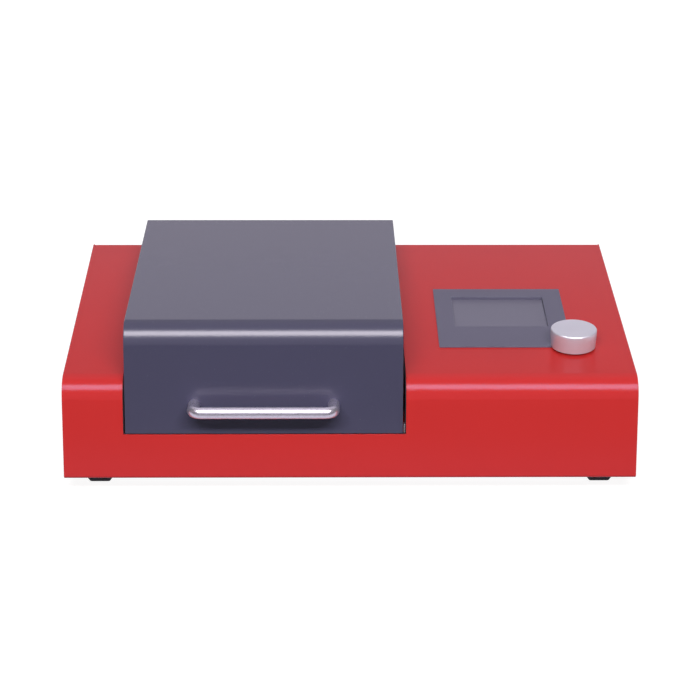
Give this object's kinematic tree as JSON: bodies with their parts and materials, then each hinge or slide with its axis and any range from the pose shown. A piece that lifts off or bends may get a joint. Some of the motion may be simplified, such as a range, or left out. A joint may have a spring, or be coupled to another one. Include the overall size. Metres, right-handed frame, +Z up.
{
  "type": "uv post-curing unit",
  "caption": "Bench-top light curing unit: sloping console, rear-hinged hood over a lit chamber, bow handle, display panel and control knob.",
  "frame": {"origin": "on the bench, under the middle of the whole unit's box", "axes": "+X to the user's right, +Y to the rear, +Z up"},
  "size_m": [0.5, 0.3612, 0.153],
  "materials": {
    "red_paint": "powder coat, semi-gloss",
    "grey_paint": "powder coat, semi-gloss",
    "satin_steel": "satin",
    "turned_aluminium": "turned and bead blasted",
    "panel_face": "matte film",
    "screen_face": "display glass, off",
    "zinc_sheet": "galvanised",
    "black_sheet": "powder coat, matte",
    "bright_aluminium": "polished",
    "sink_aluminium": "extruded",
    "hinge_steel": "satin",
    "screw_steel": "zinc plated",
    "rubber": "matte",
    "silicone": "matte",
    "clear_glass": "polished",
    "circuit_board": "white solder mask",
    "lamp_body": "lens",
    "black_plastic": "moulded",
    "rocker_plastic": "moulded",
    "fuse_glass": "polished",
    "magnet_metal": "nickel plated",
    "brass": "machined",
    "tube_plastic": "extruded"
  },
  "bodies": {
    "console": {"base_pan": "zinc_sheet", "base_screws": "screw_steel", "board_posts": "screw_steel", "catch_magnets": "magnet_metal", "chamber_gasket": "silicone", "chamber_nozzle": "brass", "chamber_tub": "bright_aluminium", "controller_board": "circuit_board", "display_board": "circuit_board", "display_panel": "panel_face", "display_posts": "screw_steel", "display_screen": "screen_face", "encoder_body": "black_plastic", "encoder_nut": "screw_steel", "fan_frame": "black_plastic", "fan_guard": "screw_steel", "fan_screws": "screw_steel", "foot_screws": "screw_steel", "glass_plate": "clear_glass", "hinge_body_leaves": "hinge_steel", "hinge_body_screws": "screw_steel", "hinge_pins": "hinge_steel", "housing_shell": "red_paint", "inlet_pins": "brass", "interlock_switch": "black_plastic", "lamp_driver": "zinc_sheet", "lid_buffers": "rubber", "lower_heat_sink": "sink_aluminium", "lower_lamp_board": "circuit_board", "lower_lamps": "lamp_body", "nitrogen_inlet_tube": "tube_plastic", "nitrogen_outlet_tube": "tube_plastic", "nitrogen_port": "brass", "nitrogen_port_nut": "brass", "power_inlet": "black_plastic", "power_supply": "zinc_sheet", "rear_panel": "black_sheet", "rear_panel_screws": "screw_steel", "rubber_feet": "rubber", "solenoid_valve": "black_plastic"},
    "lid": {"lid_shell": "grey_paint", "lid_liner": "bright_aluminium", "lid_glass": "clear_glass", "lid_heat_sink": "sink_aluminium", "lid_lamp_board": "circuit_board", "lid_lamps": "lamp_body", "liner_posts": "screw_steel", "handle": "satin_steel", "handle_screws": "screw_steel", "interlock_magnet": "magnet_metal", "hinge_lid_leaves": "hinge_steel", "hinge_lid_screws": "screw_steel"},
    "knob_slider": {"encoder_plunger": "black_plastic"},
    "knob_turner": {"encoder_shaft": "screw_steel", "knob": "turned_aluminium", "knob_set_screw": "screw_steel"},
    "switch_rocker": {"power_rocker": "rocker_plastic"},
    "fuse_holder": {"fuse_drawer": "black_plastic", "fuse": "fuse_glass"},
    "fan_wheel": {"fan_rotor": "black_plastic"}
  },
  "joints": [
    {"name": "lid_hinge", "type": "hinge", "parent": "console", "child": "lid", "pos_m": [-0.07515, 0.17397, 0.1258], "axis": [-1, 0, 0], "range_deg": [0, 75]},
    {"name": "knob_press", "type": "slide", "parent": "console", "child": "knob_slider", "axis": [0, 0.0732, -0.9973], "range_m": [0, 0.0006], "stiffness_N_per_m": 8000, "springref_m": -0.0003},
    {"name": "knob_turn", "type": "hinge", "parent": "knob_slider", "child": "knob_turner", "pos_m": [0.1994, -0.07684, 0.10912], "axis": [0, -0.0732, 0.9973], "continuous": true},
    {"name": "power_switch", "type": "hinge", "parent": "console", "child": "switch_rocker", "pos_m": [0.205, 0.16907, 0.0818], "axis": [-1, 0, 0], "range_deg": [0, 20]},
    {"name": "fuse_drawer_slide", "type": "slide", "parent": "console", "child": "fuse_holder", "axis": [0, 1, 0], "range_m": [0, 0.02]},
    {"name": "fan_spin", "type": "hinge", "parent": "console", "child": "fan_wheel", "pos_m": [0.105, 0.16707, 0.074], "axis": [0, 1, 0], "continuous": true}
  ]
}
